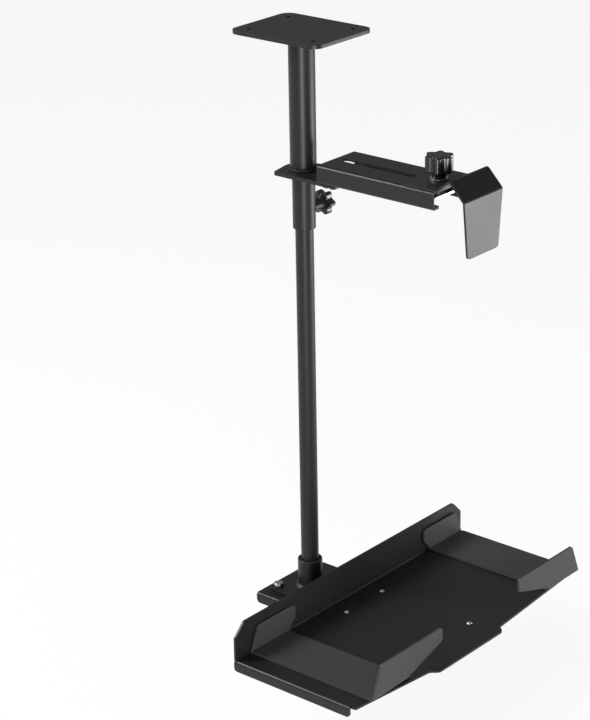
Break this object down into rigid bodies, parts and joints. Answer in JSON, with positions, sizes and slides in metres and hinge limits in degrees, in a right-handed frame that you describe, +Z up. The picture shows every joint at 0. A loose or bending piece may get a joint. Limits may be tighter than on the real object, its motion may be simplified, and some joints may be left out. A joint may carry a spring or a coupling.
{
  "type": "under-desk computer holder",
  "caption": "Under-desk computer holder: a post fixed below the desk carries a swivelling mast with a tray and cradles for the case and a clamp with a sliding hooked arm over its top.",
  "frame": {"origin": "centre of the desk plate's upper face, on the post's and mast's common axis", "axes": "+Z up, out of the face that meets the desk; +X from the post towards the hooked arm; -Y towards the front end of the tray"},
  "size_m": [0.2976, 0.408, 0.6694],
  "materials": {
    "black_steel": "satin black powder coat with a fine grain",
    "grey_steel": "satin dark grey powder coat",
    "zinc": "bright zinc-plated steel",
    "nylon": "black moulded nylon",
    "gloss_black": "glossy black moulded plastic",
    "foam": "matt black closed-cell foam"
  },
  "bodies": {
    "desk_mount": {"desk_plate": "black_steel", "outer_post": "black_steel", "post_weld": "black_steel", "thrust_bush": "nylon"},
    "mast": {"mast_tube": "black_steel", "head_ring": "zinc", "head_pin": "zinc", "mast_cap": "nylon", "guide_bush": "nylon", "mast_socket": "black_steel", "cross_channel": "black_steel", "shelf_tray": "black_steel", "mast_bolt_1": "zinc", "mast_bolt_2": "zinc", "mast_bolt_3": "zinc", "mast_bolt_4": "zinc", "mast_nut_1": "zinc", "mast_nut_2": "zinc", "mast_nut_3": "zinc", "mast_nut_4": "zinc", "tray_rivet_1": "zinc", "tray_rivet_2": "zinc", "tray_rivet_3": "zinc", "tray_rivet_4": "zinc", "guide_front": "grey_steel", "guide_rear": "grey_steel"},
    "upper_clamp": {"swivel_washer": "nylon", "collar_plate": "black_steel", "clamp_sleeve": "black_steel", "lock_boss": "black_steel", "top_channel": "black_steel", "lip_rivet_1": "zinc", "lip_rivet_2": "zinc", "lip_rivet_3": "zinc", "lip_rivet_4": "zinc"},
    "height_lock": {"height_knob": "gloss_black", "height_stud": "zinc"},
    "hook": {"hook_arm": "black_steel", "hook_pad": "foam", "slide_plate": "zinc", "knob_washer": "zinc"},
    "width_lock": {"width_knob": "gloss_black", "width_stud": "zinc"},
    "front_cradle": {"cradle_front": "grey_steel", "cradle_nut_front": "zinc"},
    "rear_cradle": {"cradle_rear": "grey_steel", "cradle_nut_rear": "zinc"},
    "front_cradle_lock": {"cradle_knob_front": "gloss_black", "cradle_stud_front": "zinc"},
    "rear_cradle_lock": {"cradle_knob_rear": "gloss_black", "cradle_stud_rear": "zinc"}
  },
  "joints": [
    {"name": "mast_swivel", "type": "hinge", "parent": "desk_mount", "child": "mast", "pos_m": [0, 0, -0.1], "axis": [0, 0, 1], "continuous": true},
    {"name": "clamp_height", "type": "slide", "parent": "mast", "child": "upper_clamp", "axis": [0, 0, 1], "range_m": [-0.15, 0]},
    {"name": "height_knob_turn", "type": "hinge", "parent": "upper_clamp", "child": "height_lock", "pos_m": [0, 0.02, -0.1986], "axis": [0, 1, 0], "continuous": true},
    {"name": "hook_reach", "type": "slide", "parent": "upper_clamp", "child": "hook", "axis": [1, 0, 0], "range_m": [-0.032, 0.004]},
    {"name": "width_knob_turn", "type": "hinge", "parent": "hook", "child": "width_lock", "pos_m": [0.181, 0, -0.118], "axis": [0, 0, 1], "continuous": true},
    {"name": "front_cradle_slide", "type": "slide", "parent": "mast", "child": "front_cradle", "axis": [1, 0, 0], "range_m": [0, 0.04]},
    {"name": "rear_cradle_slide", "type": "slide", "parent": "mast", "child": "rear_cradle", "axis": [1, 0, 0], "range_m": [0, 0.04]},
    {"name": "front_cradle_knob_turn", "type": "hinge", "parent": "front_cradle", "child": "front_cradle_lock", "pos_m": [0.122, -0.132, -0.66], "axis": [0, 0, 1], "continuous": true},
    {"name": "rear_cradle_knob_turn", "type": "hinge", "parent": "rear_cradle", "child": "rear_cradle_lock", "pos_m": [0.122, 0.1895, -0.66], "axis": [0, 0, 1], "continuous": true}
  ]
}
